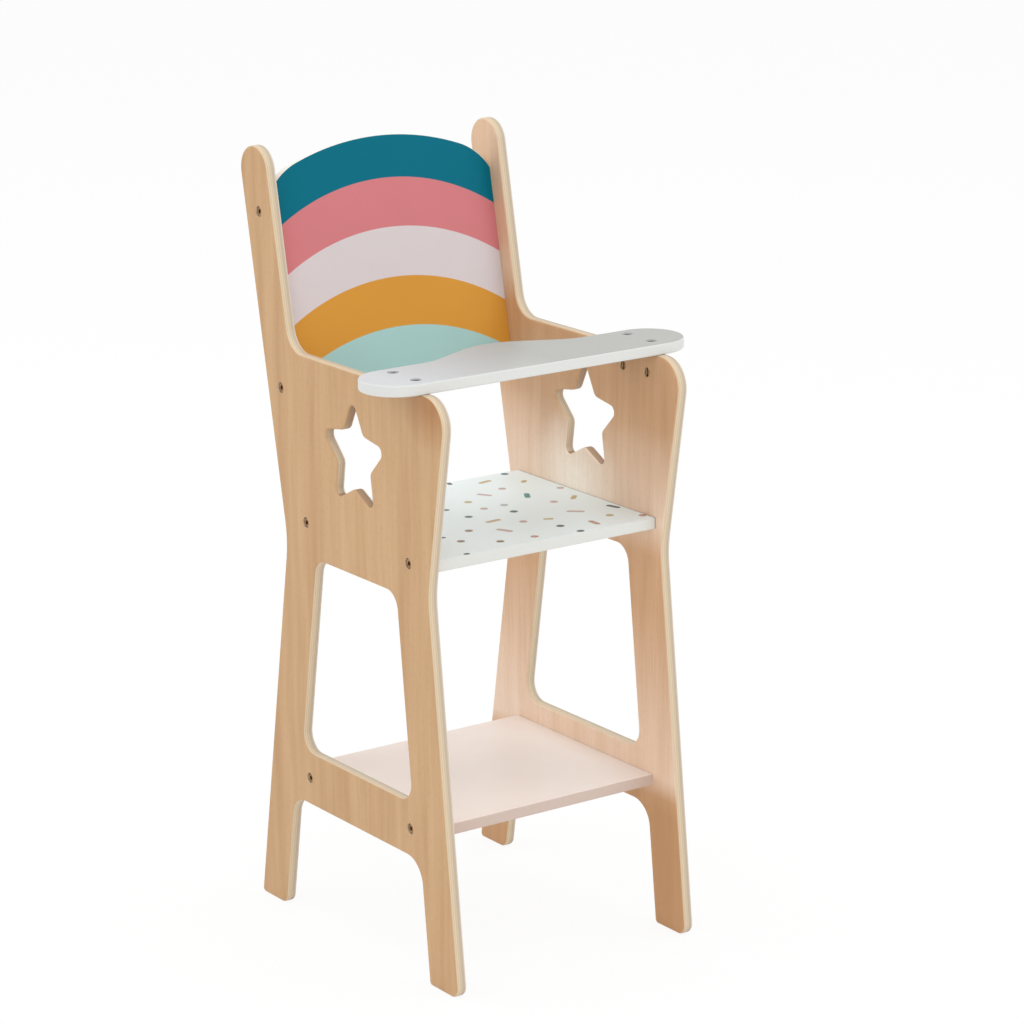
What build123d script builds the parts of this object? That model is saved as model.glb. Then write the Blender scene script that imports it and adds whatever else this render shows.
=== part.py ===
from build123d import *
from math import atan, cos, pi, sin, sqrt, tan
import os

# High chair for a doll, made of flat plywood boards held by bolts and barrel nuts.
# Sizes are in millimetres. X runs across the chair, Y from front to back and Z up.
# The origin is on the floor, midway across and midway from front to back.
# A depth is measured back from the toe of the front leg, a height up from the floor.

# Overall
overall_height = 560.0
body_width = 203.6
base_depth = 259.6
board_thickness = 8.0

# Outline of a side panel
waist_height = 281.2
front_waist_setback = 29.0
rear_waist_setback = 49.2
waist_round = 77.0
arm_height = 420.4
arm_setback = 4.2
arm_front_round = 20.4
arm_rear_round = 19.4
post_depth = 35.8
post_lean = atan(0.189)
post_top_round = 17.4

# Legs, the notch between them and the window above it
front_foot_depth = 35.4
rear_foot_depth = 34.0
foot_front_round = 8.0
foot_rear_round = 3.0
notch_height = 88.2
notch_front_round = 18.7
notch_rear_round = 16.0
front_leg_depth = 40.5
rear_leg_depth = 40.0
rail_height = 39.8
window_height = 147.2
window_round = 13.2

# Star cut-out in the arm
star_depth = 119.6
star_height = 359.5
star_points = 5
star_tip_radius = 42.5
star_notch_radius = 21.7
star_tip_round = 4.6
star_notch_round = 6.3

# Seat and shelf
shelf_depth = 168.2
seat_top_height = 303.7
seat_setback = 34.5
shelf_top_height = 112.4
shelf_setback = 38.2
board_bolt_inset = 18.5

# Backrest, measured along its lean
back_bottom_height = 376.6
back_height = 183.1
back_arch_radius = 201.0
back_shoulder_radius = 48.3
back_arch_half_width = 69.5
back_lower_bolt_inset = 15.5
back_upper_bolt_inset = 140.1

# Tray
tray_width = 260.0
tray_setback = 31.7
tray_depth = 52.1
tray_front_round = 26.5
tray_rear_round = 25.0
tongue_half_width = 59.0
tongue_slope = atan(0.49)
tongue_tip_round = 50.0
tongue_root_round = 45.0
tray_front_bolt_inset = 13.1
tray_bolt_spacing = 27.9

# Bolts; the threaded shank, hidden in the boards, is kept as a plain hexagonal bar
bolt_length = 20.0
bolt_radius = 2.0
shank_sides = 6
shank_hole_clearance = 0.2
head_radius = 3.5
head_height = 3.0
head_recess_radius = 4.0
head_recess_depth = 4.0

# Barrel nuts, kept as twelve-sided bars
nut_inset = 14.0
nut_radius = 3.5
nut_length = 6.0
nut_sides = 12
nut_clearance = 0.1
thread_clearance = 0.1

# Places worked out from the sizes above
panel_inner_x = body_width / 2 - board_thickness
front_leg_slope = front_waist_setback / waist_height
rear_leg_slope = rear_waist_setback / waist_height
window_bottom = notch_height + rail_height
window_top = window_bottom + window_height
tray_top_height = arm_height + board_thickness


def front_leg_edge(height):
    """Depth of the front leg's front edge at a height."""
    return front_leg_slope * height


def rear_leg_edge(height):
    """Depth of the rear leg's rear edge at a height."""
    return base_depth - rear_leg_slope * height


def post_rear_edge(height):
    """Depth of the leaning post's rear edge at a height."""
    return rear_leg_edge(waist_height) + tan(post_lean) * (height - waist_height)


def post_middle(height):
    """Depth of the post's centre line at a height."""
    return post_rear_edge(height) - post_depth / 2


def rounded_face(corners):
    """Flat face from (across, up, corner radius) triples, in order round the outline."""
    points = [(across, up) for across, up, radius in corners]
    radii = [radius for across, up, radius in corners]
    return make_face(FilletPolyline(*points, radius=radii, close=True))


def side_outline():
    """Outer outline of a side panel, as depths and heights."""
    notch_front = front_leg_edge(notch_height) + front_foot_depth
    notch_rear = rear_leg_edge(notch_height) - rear_foot_depth
    post_front = post_rear_edge(arm_height) - post_depth
    top_rear = post_rear_edge(overall_height)
    return rounded_face([
        (0, 0, foot_front_round),
        (front_foot_depth, 0, foot_rear_round),
        (notch_front, notch_height, notch_front_round),
        (notch_rear, notch_height, notch_rear_round),
        (base_depth - rear_foot_depth, 0, foot_front_round),
        (base_depth, 0, foot_rear_round),
        (rear_leg_edge(waist_height), waist_height, waist_round),
        (top_rear, overall_height, post_top_round),
        (top_rear - post_depth, overall_height, post_top_round),
        (post_front, arm_height, arm_rear_round),
        (arm_setback, arm_height, arm_front_round),
        (front_waist_setback, waist_height, waist_round),
    ])


def window_outline():
    """Window between the legs under the seat; its sides follow the legs' outer edges."""
    return rounded_face([
        (front_leg_edge(window_bottom) + front_leg_depth, window_bottom, window_round),
        (rear_leg_edge(window_bottom) - rear_leg_depth, window_bottom, window_round),
        (rear_leg_edge(window_top) - rear_leg_depth, window_top, window_round),
        (front_leg_edge(window_top) + front_leg_depth, window_top, window_round),
    ])


def star_outline():
    """Upright star with rounded tips and rounded notches."""
    corners = []
    for step in range(2 * star_points):
        angle = pi / 2 + step * pi / star_points
        is_tip = step % 2 == 0
        reach = star_tip_radius if is_tip else star_notch_radius
        corner_round = star_tip_round if is_tip else star_notch_round
        corners.append((reach * cos(angle), reach * sin(angle), corner_round))
    return Pos(star_depth, star_height) * rounded_face(corners)


side_bounds = side_outline().bounding_box()
middle_depth = (side_bounds.min.X + side_bounds.max.X) / 2


def place(across, depth, height):
    """Point of the chair from its distance across, its depth and its height."""
    return Vector(across, depth - middle_depth, height)


def cylinder_from(start, direction, radius, length):
    """Cylinder that begins at a point and runs along a direction."""
    shape = Cylinder(radius, length, align=(Align.CENTER, Align.CENTER, Align.MIN))
    return Plane(origin=start, z_dir=direction) * shape


class Fastening:
    """A bolt from the outer face of one board into the edge of another, and its barrel nut."""

    def __init__(self, board, spot, side, entry, inward, mouth):
        self.board = board
        self.spot = spot
        self.side = side
        self.entry = entry
        self.inward = inward
        self.mouth = mouth
        self.seat = entry + inward * head_recess_depth
        self.nut_centre = entry + inward * (board_thickness + nut_inset)

    def node(self, piece):
        """Name of this fastening's bolt or barrel nut."""
        side_name = "left" if self.side < 0 else "right"
        return f"{self.board}_{piece}_{self.spot}_{side_name}"

    def bar(self, radius, length):
        """Hexagonal bar of the shank's shape, from under the bolt's head towards the nut."""
        section = Plane(origin=self.seat, z_dir=self.inward) * RegularPolygon(radius, shank_sides)
        return extrude(section, length)

    def shank_cut(self):
        """Clearance hole for the shank, through the outer board and on into the nut's hole."""
        reach = board_thickness - head_recess_depth + nut_inset
        return self.bar(bolt_radius + shank_hole_clearance, reach)

    def head_cut(self):
        """Recess that sinks the bolt's head below the outer face."""
        return cylinder_from(self.seat, -self.inward, head_recess_radius, 2 * head_recess_depth)

    def nut_bar(self, radius, length):
        """Bar of the barrel nut's shape, from its blind end towards the mouth of its hole."""
        floor = self.nut_centre - self.mouth * nut_length / 2
        section = Plane(origin=floor, z_dir=self.mouth) * RegularPolygon(radius, nut_sides)
        return extrude(section, length)

    def nut_cut(self):
        """Blind hole for the barrel nut, with its mouth in one face of the inner board."""
        return self.nut_bar(nut_radius + nut_clearance, board_thickness)

    def bolt(self):
        """Low cylindrical head on the shank."""
        head = cylinder_from(self.seat, -self.inward, head_radius, head_height)
        return head + self.bar(bolt_radius, bolt_length)

    def barrel_nut(self):
        """Bar lying across the bolt, with its thread drilled through the side."""
        body = self.nut_bar(nut_radius, nut_length)
        return body - self.bar(bolt_radius + thread_clearance, 2 * bolt_length)


def back_frame():
    """Plane midway through the leaning backrest, facing the front, from its bottom edge."""
    origin = place(0, post_middle(back_bottom_height), back_bottom_height)
    return Plane(origin=origin, x_dir=(1, 0, 0), z_dir=(0, -cos(post_lean), sin(post_lean)))


def side_fastenings(board, spots, mouth):
    """Fastenings through both side panels at (name, depth, height) spots."""
    fastenings = []
    for spot, depth, height in spots:
        for side in (-1, 1):
            entry = place(side * body_width / 2, depth, height)
            inward = Vector(-side, 0, 0)
            fastenings.append(Fastening(board, spot, side, entry, inward, mouth))
    return fastenings


def board_spots(setback, top_height):
    """Front and rear bolt places in the edge of the seat or the shelf."""
    height = top_height - board_thickness / 2
    front = setback + board_bolt_inset
    rear = setback + shelf_depth - board_bolt_inset
    return [("front", front, height), ("rear", rear, height)]


def back_spots():
    """Lower and upper bolt places in the side edge of the backrest."""
    spots = []
    for spot, inset in (("lower", back_lower_bolt_inset), ("upper", back_upper_bolt_inset)):
        height = back_bottom_height + inset * cos(post_lean)
        spots.append((spot, post_middle(height), height))
    return spots


def tray_fastenings():
    """Fastenings down through the tray into the top edges of the arms."""
    fastenings = []
    first = tray_setback + tray_front_bolt_inset
    for spot, depth in (("front", first), ("rear", first + tray_bolt_spacing)):
        for side in (-1, 1):
            entry = place(side * (panel_inner_x + board_thickness / 2), depth, tray_top_height)
            mouth = Vector(-side, 0, 0)
            fastenings.append(Fastening("tray", spot, side, entry, Vector(0, 0, -1), mouth))
    return fastenings


def cut_all(solid, cuts):
    """A solid less each of the cuts."""
    for cut in cuts:
        solid -= cut
    return solid


def side_panel(side, through, under_tray):
    """Leg, arm and post in one board, with its window, star and holes."""
    face = side_outline() - window_outline() - star_outline()
    inner_x = side * panel_inner_x
    start = Plane(origin=place(inner_x, 0, 0), x_dir=(0, 1, 0), z_dir=(1, 0, 0))
    panel = extrude(start * face, side * board_thickness)
    for joint in through:
        if joint.side == side:
            panel = panel - joint.head_cut() - joint.shank_cut()
    for joint in under_tray:
        if joint.side == side:
            panel = panel - joint.shank_cut() - joint.nut_cut()
    return panel


def flat_board(setback, top_height, fastenings):
    """Seat or shelf: a rectangular board between the side panels."""
    middle = place(0, setback + shelf_depth / 2, top_height - board_thickness / 2)
    board = Pos(middle) * Box(2 * panel_inner_x, shelf_depth, board_thickness)
    cuts = [joint.shank_cut() for joint in fastenings] + [joint.nut_cut() for joint in fastenings]
    return cut_all(board, cuts)


def arch_point(across):
    """Height of the backrest's top over its bottom edge, at a distance from its middle."""
    centre = back_height - back_arch_radius
    if across <= back_arch_half_width:
        return centre + sqrt(back_arch_radius**2 - across**2)
    share = 1 - back_shoulder_radius / back_arch_radius
    shoulder_x = back_arch_half_width * share
    shoulder_y = centre + (arch_point(back_arch_half_width) - centre) * share
    return shoulder_y + sqrt(back_shoulder_radius**2 - (across - shoulder_x) ** 2)


def back_panel(fastenings):
    """Leaning backrest: straight sides, a shallow arch on top and rounder shoulders."""
    half_width = panel_inner_x
    shoulder = back_arch_half_width
    mid_shoulder = (half_width + shoulder) / 2
    top = (0, arch_point(0))
    bottom_left, bottom_right = (-half_width, 0), (half_width, 0)
    outline = Line(bottom_left, bottom_right)
    outline += Line(bottom_right, (half_width, arch_point(half_width)))
    outline += ThreePointArc(
        (half_width, arch_point(half_width)),
        (mid_shoulder, arch_point(mid_shoulder)),
        (shoulder, arch_point(shoulder)),
    )
    outline += ThreePointArc((shoulder, arch_point(shoulder)), top, (-shoulder, arch_point(shoulder)))
    outline += ThreePointArc(
        (-shoulder, arch_point(shoulder)),
        (-mid_shoulder, arch_point(mid_shoulder)),
        (-half_width, arch_point(half_width)),
    )
    outline += Line((-half_width, arch_point(half_width)), bottom_left)
    board = back_frame() * extrude(make_face(outline), board_thickness / 2, both=True)
    cuts = [joint.shank_cut() for joint in fastenings] + [joint.nut_cut() for joint in fastenings]
    return cut_all(board, cuts)


def tray(fastenings):
    """Board over the arms: straight front, round ends and a rounded tongue to the rear."""
    half_width = tray_width / 2
    rear = tray_setback + tray_depth
    tongue_tip = rear + tongue_half_width * tan(tongue_slope)
    face = rounded_face([
        (-half_width, tray_setback, tray_front_round),
        (half_width, tray_setback, tray_front_round),
        (half_width, rear, tray_rear_round),
        (tongue_half_width, rear, tongue_root_round),
        (0, tongue_tip, tongue_tip_round),
        (-tongue_half_width, rear, tongue_root_round),
        (-half_width, rear, tray_rear_round),
    ])
    board = Pos(place(0, 0, arm_height)) * extrude(face, board_thickness)
    return cut_all(board, [joint.head_cut() + joint.shank_cut() for joint in fastenings])


seat_fastenings = side_fastenings(
    "seat", board_spots(seat_setback, seat_top_height), Vector(0, 0, -1)
)
shelf_fastenings = side_fastenings(
    "shelf", board_spots(shelf_setback, shelf_top_height), Vector(0, 0, -1)
)
back_fastenings = side_fastenings("back", back_spots(), -back_frame().z_dir)
arm_fastenings = tray_fastenings()
panel_fastenings = seat_fastenings + shelf_fastenings + back_fastenings

parts = {
    "side_panel_left": side_panel(-1, panel_fastenings, arm_fastenings),
    "side_panel_right": side_panel(1, panel_fastenings, arm_fastenings),
    "back_panel": back_panel(back_fastenings),
    "seat_panel": flat_board(seat_setback, seat_top_height, seat_fastenings),
    "shelf_panel": flat_board(shelf_setback, shelf_top_height, shelf_fastenings),
    "tray": tray(arm_fastenings),
}
for joint in panel_fastenings + arm_fastenings:
    parts[joint.node("bolt")] = joint.bolt()
    parts[joint.node("barrel_nut")] = joint.barrel_nut()

os.makedirs("parts", exist_ok=True)
for node, solid in parts.items():
    export_step(solid, f"parts/{node}.step")
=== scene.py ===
import logging
import math
from collections.abc import Callable
from dataclasses import dataclass, field
from enum import Enum
from typing import ClassVar

import bmesh
import bpy
from mathutils import Euler, Matrix, Vector


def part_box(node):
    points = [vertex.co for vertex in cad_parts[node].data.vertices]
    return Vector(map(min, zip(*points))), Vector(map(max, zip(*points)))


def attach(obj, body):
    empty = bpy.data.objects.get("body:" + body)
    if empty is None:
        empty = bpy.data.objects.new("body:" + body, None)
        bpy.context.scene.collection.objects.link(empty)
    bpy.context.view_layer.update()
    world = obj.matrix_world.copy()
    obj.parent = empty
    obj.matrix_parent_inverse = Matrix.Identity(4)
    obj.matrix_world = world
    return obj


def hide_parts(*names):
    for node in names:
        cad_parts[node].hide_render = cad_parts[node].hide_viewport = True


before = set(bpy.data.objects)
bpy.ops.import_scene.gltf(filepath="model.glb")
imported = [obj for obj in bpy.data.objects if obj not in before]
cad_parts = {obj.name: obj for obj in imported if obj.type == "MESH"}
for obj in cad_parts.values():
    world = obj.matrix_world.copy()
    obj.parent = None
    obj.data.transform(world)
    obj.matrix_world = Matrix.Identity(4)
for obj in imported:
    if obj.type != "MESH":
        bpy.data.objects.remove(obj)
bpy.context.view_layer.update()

# Doll's high chair of plywood boards, bolts and barrel nuts. X runs across the chair, Y from front to back and Z up.
# Shapes are in metres. Patterns and prints are in millimetres, across the board, along it and through it.

MILLIMETRE = 0.001
BODY = "root"
LOG = logging.getLogger("high chair")

# Board sizes that the finishes need, and the lean of the posts and the backrest
CHAIR_HEIGHT = 560 * MILLIMETRE
BOARD_THICKNESS = 8 * MILLIMETRE
PANEL_MIDDLE_X = 97.8 * MILLIMETRE
PANEL_INNER_X = 93.8 * MILLIMETRE
POST_LEAN = math.atan(0.189)

FASTENER_NODES = sorted(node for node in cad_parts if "_bolt_" in node or "_barrel_nut_" in node)
FASTENER_BOXES = [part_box(node) for node in FASTENER_NODES]


class Lie(Enum):
    """How a board lies: the axis that its thickness runs along."""

    UPRIGHT = "thickness across the chair"
    LEANING = "thickness front to back, leaning"
    FLAT = "thickness upwards"


def linear(colour: str) -> tuple[float, float, float, float]:
    """Turn an sRGB hex colour into the linear colour that shaders use.

    Args:
        colour: Six hex digits after a hash sign.

    Returns:
        Red, green, blue and alpha, linear.
    """
    channels = []
    for start in (1, 3, 5):
        value = int(colour[start:start + 2], 16) / 255
        channels.append(value / 12.92 if value <= 0.04045 else ((value + 0.055) / 1.055) ** 2.4)
    return (*channels, 1.0)


def add_node(
    tree: bpy.types.NodeTree, kind: str, sockets: tuple | dict = (), stops: list = None, **settings
) -> bpy.types.Node:
    """Add a shader node with its settings, constant inputs and links.

    Args:
        tree: Node tree that gets the node.
        kind: Blender's name of the node type, without its first word ShaderNode.
        sockets: Values for the inputs in use, in their order or by name. A node stands for its first output in
            use, and a text for a hex colour.
        stops: Places and hex colours of a colour ramp, or shares from 0 to 1.
        **settings: Properties of the node.

    Returns:
        The new node.
    """
    node = tree.nodes.new("ShaderNode" + kind)
    for name, value in settings.items():
        setattr(node, name, value)
    if isinstance(sockets, dict):
        pairs = [(node.inputs[name], value) for name, value in sockets.items()]
    else:
        pairs = zip([socket for socket in node.inputs if socket.enabled], sockets)
    for socket, value in pairs:
        if isinstance(value, bpy.types.Node):
            value = next(output for output in value.outputs if output.enabled)
        if isinstance(value, bpy.types.NodeSocket):
            tree.links.new(value, socket)
        else:
            socket.default_value = linear(value) if isinstance(value, str) else value
    if stops:
        ramp = node.color_ramp
        while len(ramp.elements) < len(stops):
            ramp.elements.new(1.0)
        for element, (position, colour) in zip(ramp.elements, stops):
            element.position = position
            element.color = linear(colour) if isinstance(colour, str) else (colour, colour, colour, 1.0)
    return node


def new_material(name: str) -> tuple[bpy.types.Material, bpy.types.NodeTree]:
    """Make an empty node material.

    Args:
        name: Name of the finish.

    Returns:
        The material and its cleared node tree.
    """
    material = bpy.data.materials.new(name)
    material.use_nodes = True
    material.node_tree.nodes.clear()
    return material, material.node_tree


@dataclass(frozen=True)
class BoardPlace:
    """Where a board lies, so that its finish can follow its own directions."""

    lie: Lie
    middle: tuple[float, float, float]
    outward: float = 1.0
    figure_shift: float = 0.0

    def through_axis(self) -> Vector:
        """Unit vector through the board's thickness."""
        if self.lie is Lie.UPRIGHT:
            return Vector((1, 0, 0))
        if self.lie is Lie.FLAT:
            return Vector((0, 0, 1))
        return Vector((0, math.cos(POST_LEAN), -math.sin(POST_LEAN)))

    def directions(self, tree: bpy.types.NodeTree) -> dict:
        """Add nodes that give a point's place on the board, in millimetres.

        Args:
            tree: Node tree of the finish.

        Returns:
            Nodes and sockets for across the grain, along the grain and through the board, the spot on the board's
            face, the place in the wood's figure, and how far the surface faces along the thickness, outwards and up.
        """
        lean = POST_LEAN if self.lie is Lie.LEANING else 0.0
        shift = -(Euler((lean, 0, 0)).to_matrix() @ Vector(self.middle)) / MILLIMETRE
        coordinates = add_node(tree, "TexCoord").outputs
        mapping = add_node(tree, "Mapping", (coordinates["Object"], shift, (lean, 0, 0), (1 / MILLIMETRE,) * 3))
        parts = add_node(tree, "SeparateXYZ", (mapping,)).outputs
        order = {Lie.UPRIGHT: (1, 2, 0), Lie.LEANING: (0, 2, 1), Lie.FLAT: (1, 0, 2)}[self.lie]
        across, along, through = (parts[index] for index in order)
        vector = add_node(tree, "CombineXYZ", (across, along, through))
        normal = coordinates["Normal"]
        facing = add_node(tree, "VectorMath", (normal, self.through_axis()), operation="DOT_PRODUCT")
        return {
            "across": across, "along": along, "through": through,
            "spot": add_node(tree, "CombineXYZ", (across, along)),
            "vector": add_node(tree, "VectorMath", (vector, (self.figure_shift, 0, 0))),
            "facing": facing,
            "outward": add_node(tree, "Math", (facing, self.outward), operation="MULTIPLY"),
            "upwards": add_node(tree, "SeparateXYZ", (normal,)).outputs["Z"],
        }


@dataclass(frozen=True)
class Patch:
    """Round patch of another tone on a board's face, in millimetres; it fades out from its core to its reach."""

    across: float
    along: float
    core: float
    reach: float

    def share(self, tree: bpy.types.NodeTree, place: dict) -> bpy.types.Node:
        """Add the nodes that give 1 in the patch's core and 0 outside its reach."""
        distance = add_node(tree, "VectorMath", (place["spot"], (self.across, self.along, 0)), operation="DISTANCE")
        return add_node(tree, "MapRange", (distance, self.reach, self.core))


class BoardFinish:
    """A finish for a board: its nodes for colour, roughness and height, joined to a surface shader."""

    relief: ClassVar[float] = 0.015 * MILLIMETRE
    relief_strength: ClassVar[float] = 0.6
    gloss: ClassVar[float] = 0.5
    fine_strength: ClassVar[float] = 0.5

    def noise(
        self, tree: bpy.types.NodeTree, vector: bpy.types.Node, sizes: tuple, detail: float
    ) -> bpy.types.Node:
        """Add noise with its own feature size in each of the board's directions.

        Args:
            tree: Node tree of the finish.
            vector: The place on the board.
            sizes: Feature sizes across, along and through the board.
            detail: Number of finer layers.

        Returns:
            The noise node.
        """
        scaled = add_node(tree, "VectorMath", (vector, tuple(1 / size for size in sizes)), operation="MULTIPLY")
        return add_node(tree, "TexNoise", (scaled, 1.0, detail, self.fine_strength))

    def look(self, tree: bpy.types.NodeTree, place: dict) -> dict:
        """Add the nodes of the finish's own look.

        Args:
            tree: Node tree of the finish.
            place: Directions from BoardPlace.directions.

        Returns:
            Nodes for colour, roughness and height.
        """
        raise NotImplementedError

    def material(self, name: str, place: BoardPlace) -> bpy.types.Material:
        """Make the material for a board.

        Args:
            name: Name of the material.
            place: Where the board lies.

        Returns:
            The finished material.
        """
        material, tree = new_material(name)
        look = self.look(tree, place.directions(tree))
        bump = add_node(tree, "Bump", {
            "Height": look["height"], "Distance": self.relief, "Strength": self.relief_strength,
        })
        shader = add_node(tree, "BsdfPrincipled", {
            "Base Color": look["colour"], "Roughness": look["roughness"], "Normal": bump,
            "Specular IOR Level": self.gloss,
        })
        add_node(tree, "OutputMaterial", (shader,))
        return material


@dataclass(frozen=True)
class Plywood(BoardFinish):
    """Beech-faced plywood under clear matt lacquer.

    The sliced face veneer gives fine, slightly wandering lines along the grain and slow changes of tone. The
    face towards the doll is drawn paler and pinker, with painted light where light bounces off the seat and the
    shelf, brightest just over the seat, and painted shade under the tray, the seat and the shelf and at the feet.
    The sanded, rounded edge shows the plies, pale where the grain runs along the edge and greyer where it is cut
    across; the greyer plies towards the +X face also carry painted shade. Painted shade browns the star's upper
    tip and the walls that rise to the front, and darkens and warms the arm's outer face in its front corner,
    under the tray.
    """

    relief: ClassVar[float] = 0.03 * MILLIMETRE
    fine_strength: ClassVar[float] = 0.55
    roughness: tuple[float, float] = (0.58, 0.44)

    # Veneers at three levels of the slow noise of their tone
    tone_levels: tuple[float, ...] = (0.3, 0.5, 0.7)
    outer_veneer: tuple[str, ...] = ("#B99064", "#C49D71", "#CBA67B")
    # Inner face: a painted-shade copy and a painted-light copy of one veneer
    inner_shaded_veneer: tuple[str, ...] = ("#C89B71", "#CEA279", "#D4A980")
    inner_lit_veneer: tuple[str, ...] = ("#E7C9AE", "#EDD1B9", "#F1D8C2")

    # Painted light's share at shares of the chair's height; the panel's front adds painted shade, its rear painted
    # light
    inner_painted_light: tuple[tuple[float, float], ...] = (
        (0.0, 0.0), (0.17, 0.0), (0.2, 1.0), (0.27, 0.75), (0.34, 0.4), (0.43, 0.0), (0.49, 0.05), (0.535, 1.0),
        (0.58, 0.8), (0.625, 0.45), (0.655, 0.1), (0.7, 0.0), (0.77, 0.0), (0.81, 0.45), (0.88, 0.4),
    )
    panel_ends: tuple[float, float] = (-110.0, 110.0)
    end_painted_light: tuple[float, float] = (-0.06, 0.08)
    # Painted light: a bright patch on the inner face just over the seat, where light bounces off it
    glow: Patch = Patch(across=0.0, along=308.0, core=10.0, reach=56.0)
    painted_bounce_light: str = "#FFF3E4"
    # Painted shade: the inner face darker and warmer at the feet, below the shelf
    foot: tuple[float, float] = (105.0, 85.0)
    foot_painted_shade: str = "#F1E8D5"
    # Painted shade: the outer face darker and warmer in the arm's front corner, under the tray
    corner: Patch = Patch(across=-108.0, along=418.0, core=8.0, reach=38.0)
    corner_painted_shade: str = "#E2C9AB"
    inner_turn: tuple[float, float] = (0.2, -0.2)

    # Grain: the sizes of its features, the noise levels where they start and are full, and how strong they are on
    # the darkest and on the palest veneer
    tone_size: tuple[float, ...] = (14.0, 200.0, 60.0)
    drift_size: tuple[float, ...] = (60.0, 130.0, 40.0)
    wander: float = 9.0
    line: str = "#B5885B"
    line_size: tuple[float, ...] = (1.5, 70.0, 30.0)
    line_levels: tuple[float, float] = (0.45, 0.75)
    line_strength: tuple[float, float] = (0.34, 0.12)
    fleck: str = "#A4794F"
    fleck_size: tuple[float, ...] = (0.45, 5.0, 4.0)
    fleck_levels: tuple[float, float] = (0.6, 0.72)
    fleck_strength: tuple[float, float] = (0.4, 0.2)

    # Edge: the plies from face to face, the glue lines' reach as a share of the thickness, and the fibres' cut ends
    # The plies' tones are the wood's own; the greyest, fourth ply towards the +X face is partly painted shade
    plies: tuple[str, ...] = ("#D6C2A5", "#D8C2A2", "#CBBAA0", "#BDAC96", "#D3C6B5")
    glue_line: str = "#AC987B"
    glue_reach: float = 0.02
    wobble: float = 0.03
    wobble_size: tuple[float, ...] = (6.0, 9.0, 3.0)
    fibre_size: tuple[float, ...] = (0.7, 0.7, 0.35)
    fibre_levels: tuple[float, float] = (0.5, 0.8)
    fibre_strength: float = 0.3

    # Star's painted shade: the height of its upper tip and the walls' turn upwards, where it starts and where it is
    # full
    star: Patch = Patch(across=-10.6, along=359.5, core=40.0, reach=44.0)
    star_painted_shade: str = "#844F20"
    tip: tuple[float, float] = (364.5, 384.5)
    tip_shade: tuple[float, float] = (0.14, 0.62)
    rising_turn: tuple[float, float] = (0.68, 0.86)
    rising_shade: float = 0.6

    # Turn of the surface where the face veneer starts and is whole, each elsewhere and at the star's rim
    veneer_start: tuple[float, float] = (0.55, 0.1)
    veneer_whole: tuple[float, float] = (0.85, 0.35)

    def edge_stops(self) -> list[tuple[float, str]]:
        """Places and colours of the plies and glue lines through the board, for a colour ramp."""
        stops = [(0.0, self.plies[0])]
        for index in range(1, len(self.plies)):
            line = index / len(self.plies)
            stops += [
                (line - self.glue_reach, self.plies[index - 1]), (line, self.glue_line),
                (line + self.glue_reach, self.plies[index]),
            ]
        return stops

    def edge(self, tree: bpy.types.NodeTree, place: dict, at_star: bpy.types.Node) -> bpy.types.Node:
        """Add the nodes for the plies on the edge, with painted shade on the star's walls.

        Args:
            tree: Node tree of the finish.
            place: Directions from BoardPlace.directions.
            at_star: Node that is 1 at the star.

        Returns:
            Node for the edge's colour.
        """
        half = BOARD_THICKNESS / 2 / MILLIMETRE
        depth_share = add_node(tree, "MapRange", (place["through"], -half, half))
        wobble = self.noise(tree, place["vector"], self.wobble_size, 1.0)
        shifted = add_node(tree, "Math", (wobble, self.wobble, depth_share), operation="MULTIPLY_ADD")
        plies = add_node(tree, "ValToRGB", (shifted,), self.edge_stops())
        fibres = self.noise(tree, place["vector"], self.fibre_size, 2.0)
        fibre_share = add_node(tree, "MapRange", (fibres, *self.fibre_levels, 0, self.fibre_strength))
        edge = add_node(tree, "Mix", (fibre_share, plies, self.plies[2]), data_type="RGBA")
        # Painted shade on the star's walls: at its upper tip and on the walls that turn upwards
        in_tip = add_node(tree, "MapRange", (place["along"], *self.tip, *self.tip_shade))
        rising = add_node(tree, "MapRange", (place["upwards"], *self.rising_turn, 0, self.rising_shade))
        star_wall_shade = add_node(tree, "Math", (in_tip, rising), operation="MAXIMUM")
        star_shade_share = add_node(tree, "Math", (at_star, star_wall_shade), operation="MULTIPLY")
        return add_node(tree, "Mix", (star_shade_share, edge, self.star_painted_shade), data_type="RGBA")

    def look(self, tree: bpy.types.NodeTree, place: dict) -> dict:
        """Add the nodes for the wood.

        Args:
            tree: Node tree of the finish.
            place: Directions from BoardPlace.directions.

        Returns:
            Nodes for colour, roughness and height.
        """
        # The grain wanders sideways, slowly along the board
        drift = self.noise(tree, place["vector"], self.drift_size, 1.0)
        sideways = add_node(tree, "VectorMath", (drift, (self.wander, 0, 0)), operation="MULTIPLY")
        grain = add_node(tree, "VectorMath", (sideways, place["vector"]))
        tone = self.noise(tree, grain, self.tone_size, 3.0)
        lines = self.noise(tree, grain, self.line_size, 3.0)
        flecks = self.noise(tree, grain, self.fleck_size, 1.0)
        outer, red, pale = (
            add_node(tree, "ValToRGB", (tone,), list(zip(self.tone_levels, veneer)))
            for veneer in (self.outer_veneer, self.inner_shaded_veneer, self.inner_lit_veneer)
        )

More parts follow.
